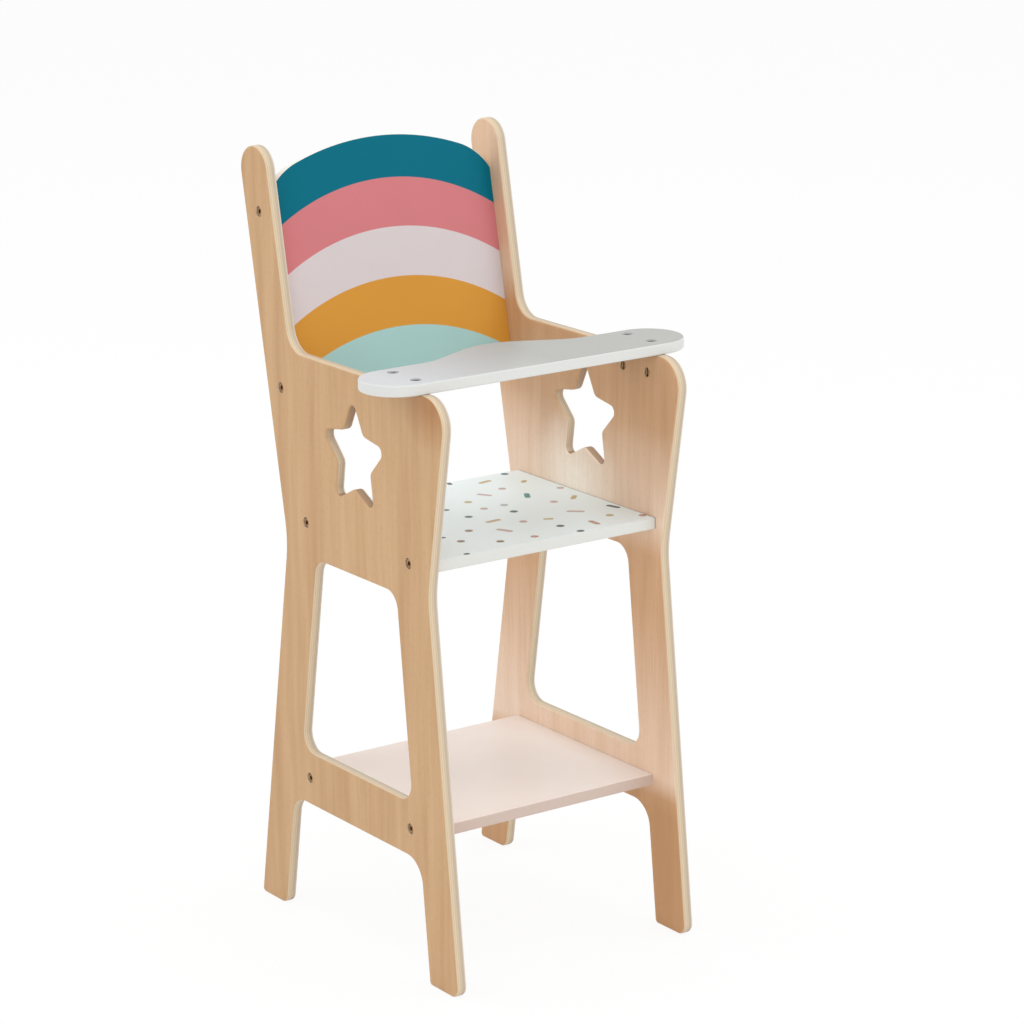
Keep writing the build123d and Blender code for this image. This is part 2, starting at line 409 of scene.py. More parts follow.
        # Inwards painted light by height and over the seat, painted shade at the feet; outwards painted shade in the
        # corner
        height_share = add_node(tree, "MapRange", (place["along"], 0, CHAIR_HEIGHT / MILLIMETRE))
        painted_light_by_height = add_node(tree, "ValToRGB", (height_share,), self.inner_painted_light)
        rearward = add_node(tree, "MapRange", (place["across"], *self.panel_ends, *self.end_painted_light))
        painted_light_share = add_node(tree, "Math", (painted_light_by_height, rearward), operation="ADD", use_clamp=True)
        in_foot = add_node(tree, "MapRange", (place["along"], *self.foot))
        inner = red
        for share, sheet, blend in (
            (painted_light_share, pale, "MIX"), (self.glow.share(tree, place), self.painted_bounce_light, "MIX"),
            (in_foot, self.foot_painted_shade, "MULTIPLY"),
        ):
            inner = add_node(tree, "Mix", (share, inner, sheet), data_type="RGBA", blend_type=blend)
        warm = add_node(tree, "Mix", (
            self.corner.share(tree, place), outer, self.corner_painted_shade,
        ), data_type="RGBA", blend_type="MULTIPLY")
        inwards = add_node(tree, "MapRange", (place["outward"], *self.inner_turn))
        face = add_node(tree, "Mix", (inwards, warm, inner), data_type="RGBA")

        # Lines and flecks, both fainter where painted light makes the face pale
        on_painted_light = add_node(tree, "Math", (inwards, painted_light_share), operation="MULTIPLY")
        for pattern, levels, where, strength, ink in (
            (lines, self.line_levels, on_painted_light, self.line_strength, self.line),
            (flecks, self.fleck_levels, inwards, self.fleck_strength, self.fleck),
        ):
            most = add_node(tree, "MapRange", (where, 0, 1, *strength))
            share = add_node(tree, "MapRange", (pattern, *levels, 0, most))
            face = add_node(tree, "Mix", (share, face, ink), data_type="RGBA")

        # The round of the rim starts inside the face veneer, and the star's rim is nearly all veneer
        at_star = self.star.share(tree, place)
        turned = add_node(tree, "Math", (place["facing"],), operation="ABSOLUTE")
        start, whole = (
            add_node(tree, "MapRange", (at_star, 0, 1, *turn)) for turn in (self.veneer_start, self.veneer_whole)
        )
        on_face = add_node(tree, "MapRange", (turned, start, whole))
        return {
            "colour": add_node(tree, "Mix", (on_face, self.edge(tree, place, at_star), face), data_type="RGBA"),
            "roughness": add_node(tree, "MapRange", (lines, 0, 1, *self.roughness)),
            "height": add_node(tree, "Math", (flecks, -0.5, lines), operation="MULTIPLY_ADD"),
        }


@dataclass(frozen=True)
class SatinPaint(BoardFinish):
    """Sprayed satin paint on sanded plywood.

    The wood's grain hardly shows through: it leaves a faint relief along the board, and the spray leaves a
    fine unevenness that softens the gloss. The edges are drawn in a tone of their own, as painted light and
    painted shade. A board can be drawn lighter towards its left end as painted light, and show painted shade
    as a thin dark line where its ends meet the sides.
    """

    colour: str
    shade: str
    # Edge tone: painted light and painted shade, as the faces and the edges of one paint are lit differently
    edge: str
    # Painted light: the board drawn lighter towards its left end
    left_painted_light: str = ""
    left_stretch: tuple[float, float] = (-115.0, 10.0)
    # Painted shade: a thin dark line in the seam where the board's ends meet the sides
    joint: float = 0.0
    joint_width: float = 0.1
    joint_painted_shade: str = "#94877A"
    roughness: float = 0.42
    roughness_swing: tuple[float, float] = (-0.05, 0.08)
    mottle_size: tuple[float, ...] = (45.0, 45.0, 45.0)
    mottle_levels: tuple[float, float] = (0.35, 0.75)
    mottle_strength: float = 0.35
    spray_size: tuple[float, ...] = (0.9, 0.9, 0.9)
    grain_size: tuple[float, ...] = (1.2, 40.0, 1.2)
    face_turn: tuple[float, float] = (0.7, 0.92)

    def look(self, tree: bpy.types.NodeTree, place: dict, printed: bpy.types.Node = None) -> dict:
        """Add the nodes for the paint.

        Args:
            tree: Node tree of the finish.
            place: Directions from BoardPlace.directions.
            printed: Colour of a printed pattern, in place of the plain colour.

        Returns:
            Nodes for colour, roughness and height.
        """
        mottle = self.noise(tree, place["vector"], self.mottle_size, 2.0)
        spray = self.noise(tree, place["vector"], self.spray_size, 1.0)
        grain = self.noise(tree, place["vector"], self.grain_size, 2.0)
        face = printed or self.colour
        # Painted light towards the left end
        if self.left_painted_light:
            rightwards = add_node(tree, "MapRange", (place["along"], *self.left_stretch))
            face = add_node(tree, "Mix", (rightwards, self.left_painted_light, face), data_type="RGBA")
        share = add_node(tree, "MapRange", (mottle, *self.mottle_levels, 0, self.mottle_strength))
        dark = add_node(tree, "Mix", (1.0, face, self.shade), data_type="RGBA", blend_type="MULTIPLY")
        mottled = add_node(tree, "Mix", (share, face, dark), data_type="RGBA")
        # Faces and edges in their own tones: painted light and painted shade
        turned = add_node(tree, "Math", (place["facing"],), operation="ABSOLUTE")
        on_face = add_node(tree, "MapRange", (turned, *self.face_turn))
        colour = add_node(tree, "Mix", (on_face, self.edge, mottled), data_type="RGBA")
        # Painted shade in the seams at the board's ends
        if self.joint:
            from_middle = add_node(tree, "Math", (place["along"],), operation="ABSOLUTE")
            in_joint = add_node(tree, "MapRange", (from_middle, self.joint, self.joint + self.joint_width))
            colour = add_node(tree, "Mix", (in_joint, colour, self.joint_painted_shade), data_type="RGBA")
        rough, rougher = (self.roughness + swing for swing in self.roughness_swing)
        return {
            "colour": colour,
            "roughness": add_node(tree, "MapRange", (spray, 0, 1, rough, rougher)),
            "height": add_node(tree, "Math", (spray, 0.5, grain), operation="MULTIPLY_ADD"),
        }


class Ink(Enum):
    """Colours of the confetti."""

    TEAL = "#4F8C92"
    SLATE = "#54585C"
    PINK = "#C3A8A4"
    CORAL = "#BA9281"
    MUSTARD = "#BFAA7C"
    MINT = "#ADBEB7"
    PETROL = "#486A72"
    BROWN = "#8E7A62"


@dataclass(frozen=True)
class Speck:
    """One printed speck of confetti, in millimetres from the middle of the seat's front edge."""

    right: float
    back: float
    ink: Ink
    length: float = 5.8
    width: float = 5.8
    turn: float = 0.0


@dataclass(frozen=True)
class Confetti(BoardFinish):
    """Satin paint with dots and short round-ended dashes of confetti printed on its top."""

    paint: SatinPaint
    front_to_middle: float = 84.1
    blur: float = 0.15
    top_turn: tuple[float, float] = (0.9, 0.95)
    specks: tuple[Speck, ...] = (
        Speck(30.5, 165.5, Ink.SLATE, 8, 3.8, 80), Speck(78.5, 163.5, Ink.PETROL),
        Speck(54, 153.5, Ink.MUSTARD, 12, 4.2, 10), Speck(77.5, 137.5, Ink.MUSTARD, 7.5, 3.8, 45),
        Speck(53, 130, Ink.PINK), Speck(33, 123.5, Ink.PINK, 12, 3.8, -60), Speck(12.5, 114, Ink.MUSTARD),
        Speck(88, 106.5, Ink.PINK), Speck(56.5, 103.5, Ink.TEAL, 13, 4.2, 60),
        Speck(-12, 105.5, Ink.SLATE, 5, 4.4), Speck(11.5, 92.5, Ink.PINK), Speck(28.5, 92, Ink.MINT),
        Speck(-9.5, 81, Ink.PETROL), Speck(62, 78, Ink.PINK), Speck(80.5, 79.5, Ink.MUSTARD, 11, 3.8, 45),
        Speck(24, 73.5, Ink.PETROL), Speck(-2, 61.5, Ink.MUSTARD, 13, 4.2, 5), Speck(-30, 50.5, Ink.BROWN),
        Speck(14, 47.5, Ink.PINK), Speck(59, 47.5, Ink.PINK, 13, 3.8, -40), Speck(88, 42, Ink.SLATE, 12, 4, -75),
        Speck(32, 42.5, Ink.MUSTARD, 7.5, 3.8, -30), Speck(-54, 46.5, Ink.SLATE, 4, 3.5),
        Speck(-9.5, 36.5, Ink.PINK, 13, 4.2, -65), Speck(-49.5, 31.5, Ink.BROWN), Speck(72, 24.5, Ink.MUSTARD),
        Speck(28, 22.5, Ink.SLATE), Speck(52, 15.5, Ink.CORAL, 12, 4.2, 90), Speck(-28, 15, Ink.BROWN),
        Speck(-2, 11, Ink.CORAL), Speck(90.5, 10.5, Ink.CORAL), Speck(-64, 3, Ink.SLATE, 4.6, 3.8),
        Speck(31.5, 3.5, Ink.SLATE, 5.8, 4.8), Speck(0, 143.5, Ink.PINK, 12, 3.8, 30), Speck(2, 159.5, Ink.MUSTARD),
        Speck(-18, 151.5, Ink.TEAL, 12, 4.2, -35), Speck(-12, 128.5, Ink.SLATE),
        Speck(-33, 137.5, Ink.MUSTARD, 12, 3.8, 70), Speck(-42, 159.5, Ink.PINK), Speck(-62, 149.5, Ink.TEAL),
        Speck(-80, 160.5, Ink.MUSTARD, 11, 3.8, -20), Speck(-86, 137.5, Ink.PINK),
        Speck(-56, 127.5, Ink.PINK, 12, 3.8, -60), Speck(-36, 113.5, Ink.TEAL),
        Speck(-30, 91.5, Ink.CORAL, 12, 3.8, 20), Speck(-72, 111.5, Ink.SLATE, 11, 3.8, 40),
        Speck(-54, 103.5, Ink.MUSTARD), Speck(-88, 93.5, Ink.TEAL), Speck(-44, 75.5, Ink.PINK),
        Speck(-68, 83.5, Ink.CORAL), Speck(-60, 65.5, Ink.TEAL, 12, 4.2, -70),
        Speck(-84, 69.5, Ink.MUSTARD, 11, 3.8, 75), Speck(-86, 55.5, Ink.PINK),
        Speck(-87, 29.5, Ink.TEAL, 12, 3.8, 15), Speck(-80, 45.5, Ink.MUSTARD),
        Speck(-88.5, 12.5, Ink.PINK, 7, 3.8, -45),
    )

    def look(self, tree: bpy.types.NodeTree, place: dict) -> dict:
        """Add the nodes for the printed paint.

        Args:
            tree: Node tree of the finish.
            place: Directions from BoardPlace.directions.

        Returns:
            Nodes for colour, roughness and height.
        """
        colour = self.paint.colour
        for speck in self.specks:
            # In the speck's own directions, the distance from the line down its middle
            turned = add_node(tree, "Mapping", (
                place["vector"], (speck.back - self.front_to_middle, speck.right, 0),
                (0, 0, -math.radians(speck.turn)),
            ), vector_type="TEXTURE")
            folded = add_node(tree, "VectorMath", (turned,), operation="ABSOLUTE")
            line = (0, (speck.length - speck.width) / 2, BOARD_THICKNESS / MILLIMETRE)
            past_line = add_node(tree, "VectorMath", (folded, line), operation="SUBTRACT")
            outside = add_node(tree, "VectorMath", (past_line, (0, 0, 0)), operation="MAXIMUM")
            distance = add_node(tree, "VectorMath", (outside,), operation="LENGTH")
            rim = speck.width / 2
            share = add_node(tree, "MapRange", (distance, rim + self.blur, rim - self.blur))
            colour = add_node(tree, "Mix", (share, colour, speck.ink.value), data_type="RGBA")
        on_top = add_node(tree, "MapRange", (place["facing"], *self.top_turn))
        printed = add_node(tree, "Mix", (on_top, self.paint.colour, colour), data_type="RGBA")
        return self.paint.look(tree, place, printed)


@dataclass(frozen=True)
class ArchedBands(BoardFinish):
    """Five bands printed on the front of a white-painted board, each edge an arc of the same radius."""

    gloss: ClassVar[float] = 0.08
    paint: SatinPaint = SatinPaint("#E4E4DE", "#F4F4F4", "#E9EAE4", roughness=0.4)
    arc_radius: float = 169.0
    crown: float = 183.1
    edges: tuple[float, ...] = (30.7, 66.0, 101.7, 137.4)
    edge_blur: float = 0.001
    band_colours: tuple[str, ...] = ("#A2C8C5", "#D0933B", "#D2C8C9", "#CC7A7E", "#00697D")
    front_turn: tuple[float, float] = (-0.7, -0.8)

    def look(self, tree: bpy.types.NodeTree, place: dict) -> dict:
        """Add the nodes for the printed bands.

        Args:
            tree: Node tree of the finish.
            place: Directions from BoardPlace.directions, from the middle of the board's bottom edge.

        Returns:
            Nodes for colour, roughness and height.
        """
        # Height of the crown of the arc through a point: the point's height plus the arc's drop there
        squared = add_node(tree, "Math", (place["across"], place["across"]), operation="MULTIPLY")
        rest = add_node(tree, "Math", (self.arc_radius**2, squared), operation="SUBTRACT")
        root = add_node(tree, "Math", (rest,), operation="SQRT")
        drop = add_node(tree, "Math", (self.arc_radius, root), operation="SUBTRACT")
        crown = add_node(tree, "Math", (place["along"], drop), operation="ADD")
        share = add_node(tree, "Math", (crown, self.crown), operation="DIVIDE")
        colour = self.band_colours[0]
        for edge, band in zip(reversed(self.edges), self.band_colours[1:]):
            line = 1 - edge / self.crown
            above = add_node(tree, "MapRange", (share, line - self.edge_blur, line + self.edge_blur))
            colour = add_node(tree, "Mix", (above, colour, band), data_type="RGBA")
        front = add_node(tree, "MapRange", (place["facing"], *self.front_turn))
        printed = add_node(tree, "Mix", (front, self.paint.colour, colour), data_type="RGBA")
        return self.paint.look(tree, place, printed)


@dataclass(frozen=True)
class ZincSteel:
    """Zinc-plated steel, tumbled after plating: brown with painted reflection and shade of the wooden recesses
    on most pieces, grey with those of the white tray on the tray's bolts.

    The plating is dull and slightly mottled, with fine scratches that widen its highlights.
    """

    # Brown and darker brown: painted reflection and painted shade of the wooden recesses
    colour: str = "#B6916A"
    dark: str = "#896A4A"
    roughness: tuple[float, float] = (0.34, 0.56)
    cloud_scale: float = 420.0
    cloud_levels: tuple[float, float] = (0.35, 0.7)
    scratch_size: float = 0.36 * MILLIMETRE
    scratch_depth: float = 0.01 * MILLIMETRE

    def material(self, name: str) -> bpy.types.Material:
        """Make the metal.

        Args:
            name: Name of the material.

        Returns:
            The finished material.
        """
        material, tree = new_material(name)
        spot = add_node(tree, "TexCoord").outputs["Object"]
        cloud = add_node(tree, "TexNoise", (spot, self.cloud_scale, 3.0))
        scratch = add_node(tree, "TexNoise", (spot, 1 / self.scratch_size, 2.0))
        share = add_node(tree, "MapRange", (cloud, *self.cloud_levels))
        shader = add_node(tree, "BsdfPrincipled", {
            "Base Color": add_node(tree, "Mix", (share, self.colour, self.dark), data_type="RGBA"), "Metallic": 1.0,
            "Roughness": add_node(tree, "MapRange", (scratch, 0, 1, *self.roughness)),
            "Normal": add_node(tree, "Bump", {"Height": scratch, "Distance": self.scratch_depth, "Strength": 0.5}),
        })
        add_node(tree, "OutputMaterial", (shader,))
        return material


def deselect() -> None:
    """Leave no object selected."""
    if bpy.context.object and bpy.context.object.mode != "OBJECT":
        bpy.ops.object.mode_set(mode="OBJECT")
    bpy.ops.object.select_all(action="DESELECT")


def pick(piece: bpy.types.Object) -> None:
    """Select one object and make it active."""
    deselect()
    piece.select_set(True)
    bpy.context.view_layer.objects.active = piece


def add_object(name: str, data: bpy.types.ID) -> bpy.types.Object:
    """Add an object with its mesh, lamp or camera to the scene.

    Args:
        name: Name of the object.
        data: What it shows.

    Returns:
        The new object.
    """
    added = bpy.data.objects.new(name, data)
    bpy.context.scene.collection.objects.link(added)
    return added


def apply_modifier(piece: bpy.types.Object, kind: str, **settings) -> None:
    """Add a modifier and apply it.

    Args:
        piece: Object that is changed.
        kind: Type of the modifier.
        **settings: Properties of the modifier.
    """
    pick(piece)
    modifier = piece.modifiers.new(kind.title(), kind)
    for name, value in settings.items():
        setattr(modifier, name, value)
    bpy.ops.object.modifier_apply(modifier=modifier.name)


def smooth(piece: bpy.types.Object, angle: float) -> None:
    """Shade smooth below an angle and keep the large faces flat.

    Args:
        piece: Object that is shaded.
        angle: Largest angle that is smoothed, in degrees.
    """
    pick(piece)
    bpy.ops.object.shade_smooth_by_angle(angle=math.radians(angle))
    apply_modifier(piece, "WEIGHTED_NORMAL", keep_sharp=True, weight=60)


def select_edges(piece: bpy.types.Object, chosen: Callable[[bmesh.types.BMEdge], bool]) -> None:
    """Select some edges of the object in edit mode, and nothing else.

    Args:
        piece: The object.
        chosen: Test that an edge has to meet.
    """
    bpy.ops.mesh.select_mode(type="EDGE")
    bpy.ops.mesh.select_all(action="DESELECT")
    shape = bmesh.from_edit_mesh(piece.data)
    for edge in shape.edges:
        edge.select_set(chosen(edge))
    bmesh.update_edit_mesh(piece.data)


def bevel_edges(
    piece: bpy.types.Object, chosen: Callable[[bmesh.types.BMEdge], bool], width: float, segments: int
) -> None:
    """Round some edges of the active object.

    Args:
        piece: The active object.
        chosen: Test that an edge has to meet.
        width: Width of the round.
        segments: Number of its steps.
    """
    bpy.ops.object.mode_set(mode="EDIT")
    select_edges(piece, chosen)
    bpy.ops.mesh.bevel(offset=width, segments=segments, profile=0.5, affect="EDGES")
    bpy.ops.object.mode_set(mode="OBJECT")


def cut_away(piece: bpy.types.Object, *tools: bpy.types.Object) -> None:
    """Cut tools out of a piece, one by one, and remove them.

    Args:
        piece: Object that is cut.
        *tools: Objects of the shapes that are cut out.
    """
    for tool in tools:
        apply_modifier(piece, "BOOLEAN", operation="DIFFERENCE", object=tool, solver="EXACT")
        bpy.data.objects.remove(tool)


def finished_mesh(piece: bpy.types.Object, angle: float) -> bpy.types.Mesh:
    """Shade a fastener, and keep its mesh without its object.

    Args:
        piece: The fastener.
        angle: Largest angle that is smoothed, in degrees.

    Returns:
        The fastener's mesh.
    """
    smooth(piece, angle)
    mesh = piece.data
    bpy.data.objects.remove(piece)
    return mesh


def settle(piece: bpy.types.Object, material: bpy.types.Material, slot: str, node: str) -> None:
    """Give a piece its material, and let it stand for its CAD node on the chair's body.

    Args:
        piece: Finished object.
        material: Its finish.
        slot: The record's material slot; not used.
        node: CAD node that it stands for.
    """
    piece.data.materials.clear()
    piece.data.materials.append(material)
    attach(piece, BODY)
    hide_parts(node)


@dataclass
class Board:
    """One plywood board: a merged copy of its CAD solid, with rounded edges."""

    node: str
    piece_name: str
    slot: str
    place: BoardPlace
    edge_round: float
    round_steps: int = 4
    mouth_chamfer: float = 0.25 * MILLIMETRE
    mouth_steps: int = 2
    fastener_margin: float = 1.5 * MILLIMETRE
    square_ends: bool = False
    end_share: float = 0.3
    end_margin: float = 0.3 * MILLIMETRE
    face_margin: float = 0.05 * MILLIMETRE
    face_turn: float = 0.99
    smoothing: float = 40.0
    merge_distance: float = 0.002 * MILLIMETRE
    flat_angle: float = 0.5
    straight_turn: float = 0.02
    piece: bpy.types.Object = field(default=None, init=False)

    def copy_solid(self) -> None:
        """Copy the CAD solid, join its loose triangles and clear the edges inside flat faces."""
        self.piece = add_object(self.piece_name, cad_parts[self.node].data.copy())
        pick(self.piece)
        bpy.ops.mesh.customdata_custom_splitnormals_clear()
        bpy.ops.object.mode_set(mode="EDIT")
        bpy.ops.mesh.select_all(action="SELECT")
        bpy.ops.mesh.remove_doubles(threshold=self.merge_distance)
        bpy.ops.mesh.dissolve_limited(angle_limit=math.radians(self.flat_angle))
        bpy.ops.object.mode_set(mode="OBJECT")

    def near_fastener(self, point: Vector) -> bool:
        """Whether a point lies at a bolt or a barrel nut."""
        margin = self.fastener_margin
        return any(
            all(low[i] - margin < point[i] < high[i] + margin for i in range(3)) for low, high in FASTENER_BOXES
        )

    def at_square_end(self, corners: list) -> bool:
        """Whether an edge lies at an end that butts against a side panel, and so stays nearly square."""
        return self.square_ends and all(abs(corner.co.x) > PANEL_INNER_X - self.end_margin for corner in corners)

    @staticmethod
    def walk(rim: dict) -> tuple[list, list]:
        """Follow one loop of open edges, and take its edges out.

        Args:
            rim: Open edges, as keys.

        Returns:
            The loop's corners in order, and the outward normal of the wall after each corner.
        """
        edge = next(iter(rim))
        start, corner = edge.verts
        corners, walls = [start], []
        while True:
            del rim[edge]
            walls.append(edge.link_faces[0].normal.copy())
            if corner is start:
                return corners, walls
            corners.append(corner)
            edge = next(edge for edge in corner.link_edges if edge in rim)
            corner = edge.other_vert(corner)

    def inset(self, axis: Vector, walls: tuple[Vector, Vector], widths: tuple[float, float]) -> Vector:
        """Shift of a corner that lies a given distance inside each of its two walls.

        Args:
            axis: Direction out of the face.
            walls: Outward normals of the walls before and after the corner.
            widths: Distance inside each wall.

        Returns:
            The shift, in the plane of the face.
        """
        before, after = -walls[0], -walls[1]
        turn = before.cross(after).dot(axis)
        if abs(turn) < self.straight_turn:
            return (before + after).normalized() * sum(widths) / 2
        return (after.cross(axis) * widths[0] - before.cross(axis) * widths[1]) / turn

    def round_loop(self, shape: bmesh.types.BMesh, axis: Vector, corners: list, walls: list) -> list:
        """Draw the rounded rim of one loop out of its walls, ring by ring.

        Args:
            shape: The board.
            axis: Direction out of the face.
            corners: The loop's corners in order.
            walls: Outward normal of the wall after each corner.

        Returns:
            The edges of the last ring.
        """
        of_mouth = self.near_fastener((corners[0].co + corners[1].co) / 2)
        width, steps = (
            (self.mouth_chamfer, self.mouth_steps) if of_mouth else (self.edge_round, self.round_steps)
        )
        count = len(corners)
        places = [corner.co.copy() for corner in corners]
        shares = [
            self.end_share if self.at_square_end([corners[i], corners[(i + 1) % count]]) else 1.0
            for i in range(count)
        ]
        for corner in corners:
            corner.co -= axis * width
        ring = corners
        for step in range(1, steps + 1):
            angle = math.radians(90) * step / steps
            inwards, down = width * (1 - math.cos(angle)), width * (1 - math.sin(angle))
            following = []
            for i in range(count):
                widths = (inwards * shares[i - 1], inwards * shares[i])
                shift = self.inset(axis, (walls[i - 1], walls[i]), widths)
                following.append(shape.verts.new(places[i] + shift - axis * down))
            for i in range(count):
                j = (i + 1) % count
                shape.faces.new((ring[i], ring[j], following[j], following[i]))
            ring = following
        return [shape.edges.get((ring[i - 1], ring[i])) for i in range(count)]

    def round_face(self, shape: bmesh.types.BMesh, axis: Vector) -> None:
        """Round the rim and the holes' mouths of one large face, and fill the face again in one piece.

        Args:
            shape: The board.
            axis: Direction out of the face.
        """
        top = max(vertex.co.dot(axis) for vertex in shape.verts) - self.face_margin
        flat = [
            face for face in shape.faces
            if face.normal.dot(axis) > self.face_turn and face.calc_center_median().dot(axis) > top
        ]
        bmesh.ops.delete(shape, geom=flat, context="FACES")
        rim = dict.fromkeys(edge for edge in shape.edges if edge.is_boundary)
        ring_edges = []
        while rim:
            ring_edges += self.round_loop(shape, axis, *self.walk(rim))
        bmesh.ops.triangle_fill(shape, edges=ring_edges, use_beauty=True, normal=axis)

    def build(self, finish: BoardFinish, material_name: str) -> None:
        """Model the board and dress it.

        Args:
            finish: What it is finished with.
            material_name: Name of its material.
        """
        self.copy_solid()
        shape = bmesh.new()
        shape.from_mesh(self.piece.data)
        axis = self.place.through_axis()
        self.round_face(shape, axis)
        self.round_face(shape, -axis)
        bmesh.ops.recalc_face_normals(shape, faces=shape.faces)
        shape.to_mesh(self.piece.data)
        shape.free()
        smooth(self.piece, self.smoothing)
        settle(self.piece, finish.material(material_name, self.place), self.slot, self.node)
        LOG.info("%s: %d faces", self.piece_name, len(self.piece.data.polygons))


@dataclass
class PanelBolt:
    """Furniture bolt: a low round head with a hexagon socket on a threaded shank."""

    head_radius: float = 3.5 * MILLIMETRE
    head_height: float = 3.0 * MILLIMETRE
    head_sides: int = 40
    rim: float = 0.4 * MILLIMETRE
    rim_steps: int = 3
    socket_width: float = 3.0 * MILLIMETRE
    socket_depth: float = 1.9 * MILLIMETRE
    mouth_share: float = 1.25
    mouth_height: float = 0.5 * MILLIMETRE
    mouth_middle: float = 0.2 * MILLIMETRE
    shank_length: float = 20.0 * MILLIMETRE
    shank_radius: float = 1.95 * MILLIMETRE
    shank_sides: int = 20
    root_radius: float = 1.55 * MILLIMETRE
    thread_pitch: float = 1.0 * MILLIMETRE
    tip_share: float = 0.75
    smoothing: float = 35.0

    def model(self) -> bpy.types.Mesh:
        """Model the bolt with its head's underside at the origin and its head up.

        Returns:
            The bolt's mesh.
        """
        deselect()
        bpy.ops.mesh.primitive_cylinder_add(
            vertices=self.head_sides, radius=self.head_radius, depth=self.head_height,
            location=(0, 0, self.head_height / 2),
        )
        head = bpy.context.object
        bpy.ops.object.transform_apply(location=True)
        middle = self.head_height / 2
        bevel_edges(head, lambda edge: all(end.co.z > middle for end in edge.verts), self.rim, self.rim_steps)
        self.cut_socket(head)
        self.add_shank(head)
        return finished_mesh(head, self.smoothing)

    def cut_socket(self, head: bpy.types.Object) -> None:
        """Cut the hexagon socket into the head, with a shallow cone at its mouth.

        Args:
            head: The bolt's head.
        """
        deselect()
        radius = self.socket_width / math.sqrt(3)
        top = self.head_height
        bpy.ops.mesh.primitive_cylinder_add(
            vertices=6, radius=radius, depth=2 * self.socket_depth, location=(0, 0, top)
        )
        hexagon = bpy.context.object
        bpy.ops.mesh.primitive_cone_add(
            vertices=self.head_sides, radius1=0, radius2=self.mouth_share * radius, depth=self.mouth_height,
            location=(0, 0, top - self.mouth_middle),
        )
        cut_away(head, hexagon, bpy.context.object)

    def add_shank(self, head: bpy.types.Object) -> None:
        """Draw the threaded shank out of the head's underside, turn by turn.

        Args:
            head: The bolt's head.
        """
        deselect()
        bpy.ops.mesh.primitive_circle_add(
            vertices=self.shank_sides, radius=self.root_radius, fill_type="NOTHING", location=(0, 0, 0)
        )
        shank = bpy.context.object
        bpy.ops.object.mode_set(mode="EDIT")
        bpy.ops.mesh.select_all(action="SELECT")
        turns = int(self.shank_length / self.thread_pitch) - 1
        swell = self.shank_radius / self.root_radius
        # Each turn goes out to the thread's crest and back to its root, and the last stretch narrows to the tip
        rings = [(self.thread_pitch / 2, swell), (self.thread_pitch / 2, 1 / swell)] * turns
        rings.append((self.shank_length - turns * self.thread_pitch, self.tip_share))
        for length, scale in rings:
            bpy.ops.mesh.extrude_edges_move(TRANSFORM_OT_translate={"value": (0, 0, -length)})
            bpy.ops.transform.resize(value=(scale, scale, 1), center_override=(0, 0, 0))
        bpy.ops.mesh.edge_face_add()
        select_edges(shank, lambda edge: edge.is_boundary)
        bpy.ops.mesh.edge_face_add()
        bpy.ops.mesh.select_all(action="SELECT")
        bpy.ops.mesh.normals_make_consistent(inside=False)
        bpy.ops.object.mode_set(mode="OBJECT")
        pick(head)
        shank.select_set(True)
        bpy.ops.object.join()


@dataclass
class BarrelNut:
    """Cross dowel: a short steel bar with a thread through its side and a screwdriver slot."""

    radius: float = 3.45 * MILLIMETRE
    length: float = 6.0 * MILLIMETRE
    bar_sides: int = 40
    rim: float = 0.35 * MILLIMETRE
    rim_steps: int = 2
    thread_radius: float = 2.0 * MILLIMETRE
    thread_sides: int = 28
    slot_width: float = 1.0 * MILLIMETRE
    slot_depth: float = 1.2 * MILLIMETRE
    smoothing: float = 35.0

    def model(self) -> bpy.types.Mesh:
        """Model the nut around the origin, slotted end up and its thread along X.

        Returns:
            The nut's mesh.
        """
        deselect()
        bpy.ops.mesh.primitive_cylinder_add(vertices=self.bar_sides, radius=self.radius, depth=self.length)
        nut = bpy.context.object
        level = self.length / 2
        bevel_edges(
            nut, lambda edge: abs(edge.verts[0].co.z - edge.verts[1].co.z) < level, self.rim, self.rim_steps
        )
        deselect()
        bpy.ops.mesh.primitive_cylinder_add(
            vertices=self.thread_sides, radius=self.thread_radius, depth=4 * self.radius,
            rotation=(0, math.pi / 2, 0),
        )
        drill = bpy.context.object
        bpy.ops.mesh.primitive_cube_add(size=1.0, location=(0, 0, self.length / 2))
        bpy.ops.transform.resize(value=(4 * self.radius, self.slot_width, 2 * self.slot_depth))
        cut_away(nut, drill, bpy.context.object)
        return finished_mesh(nut, self.smoothing)


